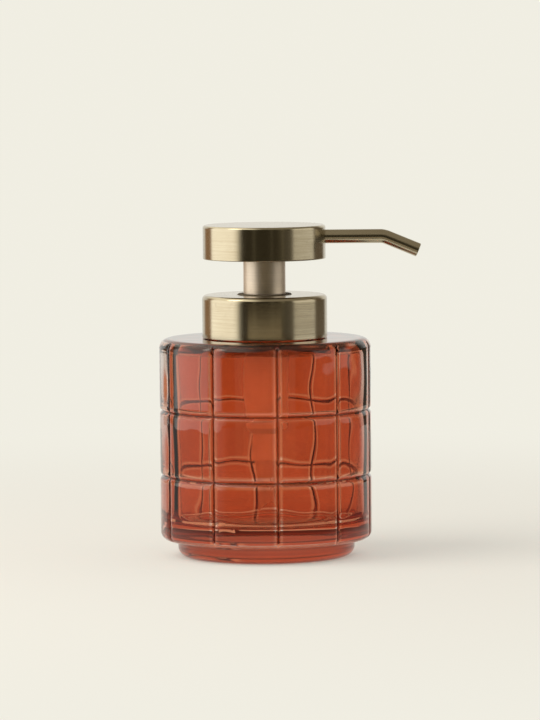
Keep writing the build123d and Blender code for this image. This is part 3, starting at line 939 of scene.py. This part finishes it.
def coat_marks(outside, side_share, out, up, height, gap, ring_gap):
    """Shares of lacquer at each grid point: where it lies, where it is deeper, where shade is painted on it,
    and where it is thin.

    It covers the outside but not what faces down. It gathered deeper in the grooves and is drawn dark enough
    there to be painted shade for their lines, and the foot and the shoulder's edge get painted shade. It is
    thin on the grooves' lips and on a line round the shoulder's rounding, drawn pale there as painted light.
    """
    size = settings().bottle
    pool = size.pool_width
    on_foot = height < size.foot_height - size.foot_cove
    under = np.where(on_foot, smooth_step(-up, *FOOT_BARE), smooth_step(-up, *BODY_BARE))
    lacquer = outside * (1.0 - under)

    # Lacquer gathered deeper in the grooves, drawn dark enough to be painted shade for their lines
    pooled = side_share * np.maximum(valley(ring_gap, pool), valley(gap, pool))
    # Painted shade on the foot
    foot = outside * (height < size.foot_height) * smooth_step(height, *FOOT_SHADE_RISE)
    pooled = np.maximum(pooled, FOOT_SHADE * foot)

    # Thin lacquer on the grooves' lips and round the shoulder, drawn pale as painted light
    lips = np.maximum(valley(ring_gap - size.ring_width, pool), valley(gap - size.lip_place, pool))
    shoulder_lip = size.shoulder_height - SHOULDER_LIP * size.shoulder_radius
    lips = np.maximum(side_share * lips, (out > 0.3) * valley(height - shoulder_lip, pool))
    bared = lips * (1.0 - pooled)

    # Painted shade along the shoulder's rounded edge
    tilted = smooth_step(up, *SHOULDER_SHADE_BEGINS) * (1.0 - smooth_step(up, *SHOULDER_SHADE_ENDS))
    pooled = np.maximum(pooled, SHOULDER_SHADE * outside * (height > shoulder_lip) * tilted)
    return {"lacquer": lacquer, "pooled": pooled, "bared": bared}


def bottle_surface():
    """Grid of the bottle and the marks of its lacquer.

    A line round the glass's section is turned about Z. The outer side is pushed in along its own normal
    by the grooves, the neck is pushed out by the thread, and the inner wall is pushed in by slow waves and
    a soft echo of the grooves.
    """
    size = settings().bottle
    side, lip = side_and_lip()
    line = section_line(side)
    face = outward(line)
    around = round_angles(side)
    gap = upright_distance(around, side)
    radius, height = line[:, 0, None], line[:, 1, None]
    out, up = face[:, 0, None], face[:, 1, None]
    ring_gap = ring_distance(height)

    on_side = (radius > side - SIDE_BAND) & (out > 0)
    side_share = np.where(up > 0, smooth_step(out, *UPPER_FADE), smooth_step(out, *LOWER_FADE)) * on_side
    cut = (ring_groove(ring_gap) * size.ring_depth) ** 3 + (upright_groove(gap) * size.upright_depth) ** 3
    inner_share = smooth_step(-out, *INNER_FADE) * (radius > INNER_WALL)
    shift = thread_ridge(around, height, lip) * neck_wall(radius, height)
    shift = shift + inner_share * inner_push(around, height, gap, ring_gap) - side_share * np.cbrt(cut)

    outside = (np.arange(len(line)) < np.argmax(line[:, 1]))[:, None]
    on_axis = radius < TINY
    radius = np.where(on_axis, 0.0, radius + shift * out)
    height = height + shift * up
    points = np.stack([radius * np.sin(around), -radius * np.cos(around), height], axis=-1)
    return points, coat_marks(outside, side_share, out, up, height, gap, ring_gap)


class DISPENSER_OT_bottle(bpy.types.Operator):
    """Make the grooved glass bottle"""

    bl_idname = "dispenser.bottle"
    bl_label = "Glass bottle"

    def execute(self, context):
        points, marks = bottle_surface()
        piece = grid_object("bottle_glass", points, closed=False, marks=marks)
        fitted(piece, "bottle", "bottle", amber_glass())
        return {"FINISHED"}


# Metal pieces

# Segments of the collar and the head, and of the sleeve and the plate under the head
METAL_SEGMENTS = 288
SLEEVE_SEGMENTS = 192
# Rounding of that plate's edges
PLATE_EDGE = 0.0001
# Sides of the spout's tube, and rows of its grid along the level run, the bend, the slope and the lip
SPOUT_SIDES = 48
LEVEL_ROWS = 12
BEND_ROWS = 20
SLOPE_ROWS = 10
LIP_ROWS = 6
# Room between a tube and the hole that it sits in
FIT = 0.00005


class DISPENSER_OT_collar(bpy.types.Operator):
    """Make the drawn collar on the bottle's neck"""

    bl_idname = "dispenser.collar"
    bl_label = "Collar"

    def execute(self, context):
        size = settings().metal
        radius, bottom, top = reach_of("collar")
        inner, under = radius - size.collar_wall, top - size.collar_wall
        rim = 0.12 * size.collar_wall
        corners = [
            (inner, bottom, rim),
            (radius, bottom, rim),
            (radius, top, size.collar_edge),
            (size.collar_hole, top),
            (size.collar_hole, under),
            (inner, under, size.collar_edge - size.collar_wall),
        ]
        piece = turned_piece("collar_shell", corners, size.hem, METAL_SEGMENTS)
        fitted(piece, "cap", "collar", spun_brass())
        return {"FINISHED"}


class DISPENSER_OT_head(bpy.types.Operator):
    """Make the pressed head: its shell and the plate under it"""

    bl_idname = "dispenser.head"
    bl_label = "Head"

    def execute(self, context):
        size = settings().metal
        radius, bottom, top = reach_of("head_shell")
        inner, ceiling = radius - size.head_wall, top - size.head_wall
        corners = [(0, ceiling), (inner, ceiling), (inner, bottom), (radius, bottom)]
        corners += [(radius, top, size.head_edge), (0, top)]
        piece = turned_piece("head_cup", corners, size.hem, METAL_SEGMENTS, closed=False)
        fitted(piece, "head", "head_shell", spun_brass())

        hole = reach_of("stem_sleeve")[0] + FIT
        corners = ring_corners(hole, *reach_of("head_base_plate"))
        piece = turned_piece("head_underside", corners, PLATE_EDGE, SLEEVE_SEGMENTS)
        fitted(piece, "head", "head_base_plate", spun_brass())
        return {"FINISHED"}


class DISPENSER_OT_sleeve(bpy.types.Operator):
    """Make the metal sleeve round the stem"""

    bl_idname = "dispenser.sleeve"
    bl_label = "Stem sleeve"

    def execute(self, context):
        wall = settings().metal.sleeve_wall
        radius, bottom, top = reach_of("stem_sleeve")
        corners = ring_corners(radius - wall, radius, bottom, top)
        piece = turned_piece("sleeve_tube", corners, 0.3 * wall, SLEEVE_SEGMENTS)
        fitted(piece, "head", "stem_sleeve", sleeve_metal())
        return {"FINISHED"}


class DISPENSER_OT_spout(bpy.types.Operator):
    """Make the spout's bent tube"""

    bl_idname = "dispenser.spout"
    bl_label = "Spout"

    def execute(self, context):
        piece = grid_object("spout_pipe", spout_surface())
        fitted(piece, "head", "spout_tube", drawn_brass())
        return {"FINISHED"}


def spout_surface():
    """Grid of the spout.

    Its middle line runs level, round an arc and down a slope. Rings of the outer radius are carried out
    along it, rounded over the tip's lip, and rings of the bore are carried back.
    """
    size = settings().metal
    low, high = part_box("spout_tube")
    outer = high.y
    bore = outer - size.spout_wall
    axis_height = high.z - outer
    slope, bend = size.spout_slope, size.spout_bend_radius
    take = bend * math.tan(slope / 2)
    level = size.spout_bend_reach - take - low.x
    arc = bend * slope
    sloped = (size.spout_tip_reach - size.spout_bend_reach) / math.cos(slope) - take

    lip = 0.35 * size.spout_wall
    turn = np.linspace(0.0, np.pi / 2, LIP_ROWS)
    body = np.concatenate(
        [
            np.linspace(0.0, level, LEVEL_ROWS),
            level + arc * np.linspace(0.05, 1.0, BEND_ROWS),
            level + arc + sloped * np.linspace(0.1, 0.94, SLOPE_ROWS),
        ]
    )
    tip = level + arc + sloped - lip + lip * np.sin(turn)
    place = np.concatenate([body, tip, tip[::-1], body[::-1]])
    ring_out = outer - lip + lip * np.cos(turn)
    ring_in = bore + lip - lip * np.cos(turn)
    same = np.ones(len(body))
    radius = np.concatenate([outer * same, ring_out, ring_in[::-1], bore * same])

    tilt = np.clip((place - level) / bend, 0.0, slope)
    before = np.minimum(place, level)
    after = np.clip(place - level - arc, 0.0, None)
    run = low.x + before + bend * np.sin(tilt) + after * math.cos(slope)
    drop = bend * (1.0 - np.cos(tilt)) + after * math.sin(slope)
    zero = np.zeros_like(run)
    centre = np.stack([run, zero, axis_height - drop], axis=1)
    across = np.stack([zero, zero + 1.0, zero], axis=1)
    up = np.stack([np.sin(tilt), zero, np.cos(tilt)], axis=1)
    return carried(centre, across, up, radius, SPOUT_SIDES)


# Pump pieces

PLASTIC_SEGMENTS = 128
TUBE_SEGMENTS = 64
# Sides of the spring's wire, and steps along it in one turn
WIRE_SIDES = 14
WIRE_STEPS = 36
# Roundings of moulded edges
MOULD_EDGE = 0.0002
RIM_EDGE = 2 * MOULD_EDGE
WIDE_EDGE = 4 * MOULD_EDGE
TUBE_EDGE = 0.00015
# Heights above the dip tube's end between which the slant of its cut dies out
CUT_RUN = (0.0010, 0.0100)


class DISPENSER_OT_pump(bpy.types.Operator):
    """Make the pump's plastic body: housing, lock ring and dip tube"""

    bl_idname = "dispenser.pump"
    bl_label = "Pump body"

    def execute(self, context):
        size = settings().pump
        flange, bottom, top = reach_of("pump_housing")
        tube, _, tube_top = reach_of("dip_tube")
        flange_bottom, cup_inside = top - size.flange, size.cup_floor + size.cup_floor_wall
        taper_bottom = size.taper_top - (size.cylinder_radius - size.socket_radius)
        socket_bore = tube + FIT
        corners = [
            (size.cup_bore, top),
            (flange, top),
            (flange, flange_bottom),
            (size.cup_radius, flange_bottom),
            (size.cup_radius, size.cup_floor, WIDE_EDGE),
            (size.cylinder_radius, size.cup_floor, RIM_EDGE),
            (size.cylinder_radius, size.taper_top, WIDE_EDGE),
            (size.socket_radius, taper_bottom, WIDE_EDGE),
            (size.socket_radius, bottom),
            (socket_bore, bottom),
            (socket_bore, tube_top),
            (size.inlet_throat, tube_top),
            (size.inlet_throat, size.inlet_floor),
            (size.cylinder_bore, size.inlet_floor),
            (size.cylinder_bore, cup_inside),
            (size.cup_bore, cup_inside),
        ]
        piece = turned_piece("housing_cylinder", corners, MOULD_EDGE, PLASTIC_SEGMENTS)
        fitted(piece, "pump", "pump_housing", moulded("natural_plastic"))

        ring_flange, ring_bottom, ring_top = reach_of("lock_ring")
        flange_top = size.ring_flange + size.ring_flange_height
        corners = [
            (size.guide_bore, ring_bottom),
            (size.ring_radius, ring_bottom),
            (size.ring_radius, size.ring_flange),
            (ring_flange, size.ring_flange),
            (ring_flange, flange_top),
            (size.ring_radius, flange_top),
            (size.ring_radius, ring_top, RIM_EDGE),
            (size.ring_bore, ring_top, RIM_EDGE),
            (size.ring_bore, size.ring_floor),
            (size.guide_radius, size.ring_floor),
            (size.guide_radius, size.guide_top),
            (size.guide_bore, size.guide_top),
        ]
        piece = turned_piece("lock_ring_cup", corners, MOULD_EDGE, PLASTIC_SEGMENTS)
        fitted(piece, "pump", "lock_ring", moulded("dark_plastic"))

        piece = grid_object("dip_pipe", dip_surface())
        fitted(piece, "pump", "dip_tube", moulded("clear_tube"))
        return {"FINISHED"}


def dip_surface():
    """Grid of the dip tube: a turned ring section whose lower rows rise along a slanted plane."""
    size = settings().pump
    radius, bottom, top = reach_of("dip_tube")
    corners = ring_corners(radius - size.tube_wall, radius, bottom, top)
    points = turned(rounded(corners, edge=TUBE_EDGE), TUBE_SEGMENTS)
    slant = math.tan(size.tube_cut) * (points[..., 0] + radius)
    points[..., 2] += slant * (1.0 - smooth_step(points[..., 2] - bottom, *CUT_RUN))
    return points


class DISPENSER_OT_spring(bpy.types.Operator):
    """Make the return spring"""

    bl_idname = "dispenser.spring"
    bl_label = "Return spring"

    def execute(self, context):
        piece = grid_object("spring_coil", spring_surface(), closed=False)
        fitted(piece, "pump", "return_spring", spring_steel())
        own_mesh(piece)
        return {"FINISHED"}


def spring_surface():
    """Grid of the spring: rings of the wire's radius carried along a helix, drawn to a point at each end."""
    size = settings().pump
    low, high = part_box("return_spring")
    wire = size.spring_wire / 2
    radius = high.y - wire
    whole_turn = FULL_TURN * size.spring_turns
    steps = np.concatenate([[0.0], np.linspace(0.0, 1.0, WIRE_STEPS * size.spring_turns + 1), [1.0]])
    turn = whole_turn * steps
    rise = high.z - low.z - 2 * wire
    cos, sin, zero = np.cos(turn), np.sin(turn), np.zeros_like(turn)
    centre = np.stack([radius * cos, radius * sin, low.z + wire + rise * steps], axis=1)
    out = np.stack([cos, sin, zero], axis=1)
    way = unit(np.stack([-radius * sin, radius * cos, zero + rise / whole_turn], axis=1))[0]
    thick = np.full(len(steps), wire)
    thick[[0, -1]] = 0.0
    return carried(centre, out, np.cross(way, out), thick, WIRE_SIDES)


class DISPENSER_OT_inner_pieces(bpy.types.Operator):
    """Give the pieces that stay as the CAD made them their finishes"""

    bl_idname = "dispenser.inner_pieces"
    bl_label = "Inner pieces"

    def execute(self, context):
        slots = {row["node"]: row["material_slot"] for row in frame["record"]["subparts"]}
        shown = {name: node for name, node in frame["nodes"].items() if not node.hide_render}
        for name, node in shown.items():
            node.data.materials.clear()
            slot = slots[name]
            node.data.materials.append(spring_steel() if slot == "spring_steel" else moulded(slot))
        return {"FINISHED"}


# Stage

# Colours of the room that shows in reflections
WALL = (0.86, 0.85, 0.80)
WARM_GAP = (0.39, 0.235, 0.13)
WINDOW = (1.90, 1.86, 1.76)
DARK = (0.045, 0.037, 0.019)
GREY = (0.11, 0.095, 0.06)
RIGHT_CARD = (1.10, 1.06, 0.95)
BROWN_GAP = (0.17, 0.13, 0.085)
# That room round the table, as (degrees round from the camera, colour). Left is negative.
ROOM = (
    (-180, WALL),
    (-150, WALL),
    (-143, WARM_GAP),
    (-121, WARM_GAP),
    (-114, WINDOW),
    (-60, WINDOW),
    (-50, (1.20, 1.15, 1.02)),
    (-42, DARK),
    (-22, DARK),
    (-19, (0.22, 0.20, 0.14)),
    (-16, DARK),
    (11, DARK),
    (14, (0.18, 0.16, 0.11)),
    (17, DARK),
    (24, (0.06, 0.05, 0.027)),
    (29, GREY),
    (33, GREY),
    (35, (0.42, 0.38, 0.27)),
    (37, (0.10, 0.085, 0.055)),
    (53, GREY),
    (58, RIGHT_CARD),
    (104, RIGHT_CARD),
    (110, BROWN_GAP),
    (143, BROWN_GAP),
    (150, WALL),
    (180, WALL),
)
# The ramp holds the room's colours divided by this
BRIGHTEST = 2.0
# Slopes of the directions between which that room's floor begins, in front and on the right
FRONT_FLOOR_EDGE = (-0.0672, -0.0654)
RIGHT_FLOOR_EDGE = (-0.0776, -0.0756)
# Colours of its floor, of its back wall and of its ceiling
FRONT_FLOOR = (0.015, 0.012, 0.007)
RIGHT_FLOOR = (0.10, 0.09, 0.075)
BACK_WALL = (0.48, 0.47, 0.44)
LEFT_CEILING = (0.80, 0.77, 0.67)
RIGHT_CEILING = (0.17, 0.15, 0.115)
# The plainer room that a ray sees after it has passed the glass
CLEAR_FRONT = (0.040, 0.034, 0.022)
CLEAR_BACK = (0.43, 0.425, 0.40)
CLEAR_CEILING = (0.24, 0.225, 0.19)
CLEAR_ZENITH = (0.90, 0.88, 0.80)
ONE_WALL_CEILING = (0.035, 0.030, 0.022)
ONE_WALL_FRONT = (0.02, 0.017, 0.011)
# The even light from all round
DOME_COLOUR = (1.0, 0.985, 0.95)
# The lamp: its place, its colour, how much brighter the room's reflection is there, and its aim
KEY_PLACE = (-0.80, -0.32, 0.75)
KEY_COLOUR = (1.0, 0.98, 0.94)
KEY_MIRRORED = 4.0
KEY_AIM = (0, 0, 0.05)
# Gain of the even light where it comes sideways through the glass to a matt surface
THROUGH_GLASS = 9.0
# A card seen only in reflections: its colours, half width, place before the axis, lower and upper edge
CARD_DIM = (0.34, 0.285, 0.19)
CARD_BRIGHT = (0.44, 0.37, 0.25)
CARD_HALF = 0.08
CARD_FRONT = -0.145
CARD_EDGES = (0.030, 0.085)
# The table: how far under the foot it lies, and the rings and segments of its grid
TABLE_DROP = 0.00005
TABLE_RINGS = 24
TABLE_SEGMENTS = 96


def table_material():
    """Cream paper. It takes the object's shadow near the middle and fades to plain paper at its rim.

    Away from the object, its reflection is dimmer towards the front and the sides.
    """
    studio = settings().studio
    material, board = new_material("table_paper")
    point, x, y, _ = board.place()
    away = (x * x + y * y) ** 0.5
    fade = board.step(away, 0.15 * studio.table_radius, 0.9 * studio.table_radius)
    paper = board.blend(fade, studio.table, studio.backdrop)
    camera, glossy, bent = board.rays("Is Camera Ray", "Is Glossy Ray", "Is Transmission Ray")
    shaded = glossy * (1.0 - bent) * board.step(away, 0.10, 0.16) * board.fall(y / away, 0.45, 0.65)
    under = board.step(away, 0.028, 0.038, 0.18, 0.52)
    plain = (camera + glossy) * (under + fade * 0.48) + bent * fade
    plain = plain.math("MAXIMUM", plain, shaded)
    lit = board.principled(
        {
            "Base Color": paper,
            "Roughness": 0.9,
            "Specular IOR Level": 0.0,
            "Normal": board.bump(board.noise(point, 900.0), 0.05, 0.0001),
        }
    )
    left = board.fall(x / away, -0.78, -0.62)
    dim = board.blend(left, times(studio.table, 0.22), times(studio.table, 0.60))
    glow = board.light("Emission", board.blend(shaded, paper, dim))
    return finished(material, board, board.mixed(plain, lit, glow))


def card_material():
    """Dim warm card in front of the bottle, which is seen only in reflections."""
    material, board = new_material("dim_card")
    uneven = board.noise(board.place()[0], 20.0)
    colour = board.blend(uneven, CARD_DIM, CARD_BRIGHT)
    return finished(material, board, board.light("Emission", colour))


def mirrored_room(board, x, y, z):
    """Colour of the room that shows in reflections, by direction."""
    turn = x.math("ARCTAN2", x, 0.0 - y) / FULL_TURN + 0.5
    stops = [((degrees + 180) / 360, times(colour, 1.0 / BRIGHTEST)) for degrees, colour in ROOM]
    room = board.node("ValToRGB", {"stops": stops}, {"Fac": turn})
    room = board.blend(board.fall(y, -0.7, -0.6) * board.fall(z, *FRONT_FLOOR_EDGE), room, FRONT_FLOOR)
    room = board.blend(board.step(x, 0.55, 0.75) * board.fall(z, *RIGHT_FLOOR_EDGE), room, RIGHT_FLOOR)
    room = board.blend(board.step(z, 0.01, 0.05) * board.step(y, 0.6, 0.8), room, BACK_WALL)
    ceiling = board.blend(board.step(x, -0.45, -0.02), LEFT_CEILING, RIGHT_CEILING)
    return board.blend(board.step(z, 0.30, 0.60), room, ceiling)


def clear_room(board, one_wall, y, z):
    """Colour of the room past the glass. A ray that has crossed only one wall meets dark above it."""
    room = board.blend(board.step(y, -0.55, -0.30), CLEAR_FRONT, CLEAR_BACK)
    overhead = board.blend(board.step(z, 0.70, 0.85), CLEAR_CEILING, CLEAR_ZENITH)
    overhead = board.blend(one_wall, overhead, ONE_WALL_CEILING)
    room = board.blend(board.step(z, 0.30, 0.55), room, overhead)
    front_up = one_wall * board.step(z, 0.15, 0.30) * board.fall(y, -0.45, -0.15)
    return board.blend(front_up, room, ONE_WALL_FRONT)


def room_world():
    """World: plain cream for the camera, even light for matt surfaces, and a studio room for reflections.

    Rays that have passed the glass see a plainer room.
    """
    studio = settings().studio
    world = bpy.data.worlds.new("studio_room")
    world.use_nodes = True
    board = Board(world.node_tree)
    _, x, y, z = board.place("Generated")
    camera, glossy, through = board.rays("Is Camera Ray", "Is Glossy Ray", "Is Transmission Ray")
    bounces, crossings = board.rays("Diffuse Depth", "Transmission Depth")
    past_glass = crossings > 0.5
    one_wall = crossings < 2.5
    room = board.blend(past_glass, mirrored_room(board, x, y, z), clear_room(board, one_wall, y, z))
    key = Vector(KEY_PLACE).normalized()
    on_key = board.step(x * key.x + y * key.y + z * key.z, 0.972, 0.985)
    bright = BRIGHTEST + on_key * (1.0 - past_glass) * KEY_MIRRORED
    sideways = board.fall(z * z, 0.04, 0.14)
    even = studio.dome * (1.0 + THROUGH_GLASS * through * sideways)

    dome = board.light("Background", DOME_COLOUR, even)
    seen = board.light("Background", room, bright)
    paper = board.light("Background", studio.backdrop)
    sees_room = glossy * (1.0 - through) + through * (bounces < 0.5)
    surface = board.mixed(camera, board.mixed(sees_room, dome, seen), paper)
    board.node("OutputWorld", sockets={"Surface": surface})
    return world


def hidden_from(thing, *rays):
    """Hides an object from some kinds of ray."""
    for ray in rays:
        setattr(thing, f"visible_{ray}", False)


def aimed(thing, place, at, roll=0.0):
    """Puts a lamp or camera at a place, turns it towards a point and tips it about its line of sight."""
    thing.location = place
    thing.rotation_mode = "QUATERNION"
    level = (Vector(at) - thing.location).to_track_quat("-Z", "Y")
    thing.rotation_quaternion = level @ Quaternion((0, 0, 1), roll)


class DISPENSER_OT_stage(bpy.types.Operator):
    """Make the table, the room, the lamp, the card and the camera"""

    bl_idname = "dispenser.stage"
    bl_label = "Stage"

    def execute(self, context):
        studio = settings().studio
        scene = context.scene
        scene.view_settings.view_transform = "Standard"
        scene.world = room_world()

        out = studio.table_radius * np.linspace(0.0, 1.0, TABLE_RINGS) ** 1.5
        disc = turned(np.stack([out, np.full_like(out, -TABLE_DROP)], axis=1), TABLE_SEGMENTS)
        table = grid_object("table_top", disc, closed=False)
        if table.data.polygons[0].normal.z < 0:
            table.data.flip_normals()
        table.data.materials.append(table_material())

        lamp = bpy.data.lights.new("key_lamp", "AREA")
        lamp.shape = "DISK"
        lamp.size = studio.key_size
        lamp.energy = studio.key_power
        lamp.color = KEY_COLOUR
        key = linked("key_lamp", lamp)
        aimed(key, KEY_PLACE, KEY_AIM)
        hidden_from(key, "camera", "glossy", "transmission")

        low, high = CARD_EDGES
        sides = ((-CARD_HALF, low), (CARD_HALF, low), (CARD_HALF, high), (-CARD_HALF, high))
        mesh = bpy.data.meshes.new("low_card")
        mesh.from_pydata([(x, CARD_FRONT, z) for x, z in sides], [], [(0, 1, 2, 3)])
        mesh.materials.append(card_material())
        card = linked("low_card", mesh)
        hidden_from(card, "camera", "diffuse", "transmission", "shadow")

        camera = linked("camera", bpy.data.cameras.new("camera"))
        camera.data.lens = studio.lens_mm
        camera.data.sensor_width = 36.0
        camera.data.clip_end = 20.0
        place = (studio.camera_side, -studio.distance, studio.camera_height)
        aimed(camera, place, (studio.camera_side, 0.0, studio.aim_height), studio.camera_roll)
        scene.camera = camera
        return {"FINISHED"}


class DISPENSER_PT_panel(bpy.types.Panel):
    """Lists the pieces and their sizes"""

    bl_idname = "DISPENSER_PT_panel"
    bl_label = "Soap pump dispenser"
    bl_space_type = "VIEW_3D"
    bl_region_type = "UI"
    bl_category = "Dispenser"

    def draw(self, context):
        layout = self.layout
        for operator in OPERATORS:
            layout.operator(operator.bl_idname)
        for group in ("bottle", "metal", "pump", "colours", "studio"):
            box = layout.box()
            values = getattr(context.scene.dispenser, group)
            for key in values.bl_rna.properties.keys():
                if key not in ("rna_type", "name"):
                    box.prop(values, key)


GROUPS = (BottleSizes, MetalSizes, PumpSizes, FinishColours, StudioSettings, DispenserSettings)
OPERATORS = (
    DISPENSER_OT_bottle,
    DISPENSER_OT_collar,
    DISPENSER_OT_head,
    DISPENSER_OT_sleeve,
    DISPENSER_OT_spout,
    DISPENSER_OT_pump,
    DISPENSER_OT_spring,
    DISPENSER_OT_inner_pieces,
    DISPENSER_OT_stage,
)


def register():
    """Makes the settings, operators and panel known to Blender."""
    for kind in (*GROUPS, *OPERATORS, DISPENSER_PT_panel):
        bpy.utils.register_class(kind)
    bpy.types.Scene.dispenser = PointerProperty(type=DispenserSettings)


def unregister():
    """Takes them out again."""
    del bpy.types.Scene.dispenser
    for kind in reversed((*GROUPS, *OPERATORS, DISPENSER_PT_panel)):
        bpy.utils.unregister_class(kind)


def main():
    """Makes the dispenser on its stage."""
    register()
    bpy.ops.dispenser.bottle()
    bpy.ops.dispenser.collar()
    bpy.ops.dispenser.head()
    bpy.ops.dispenser.sleeve()
    bpy.ops.dispenser.spout()
    bpy.ops.dispenser.pump()
    bpy.ops.dispenser.spring()
    bpy.ops.dispenser.inner_pieces()
    bpy.ops.dispenser.stage()


if __name__ == "__main__":
    main()
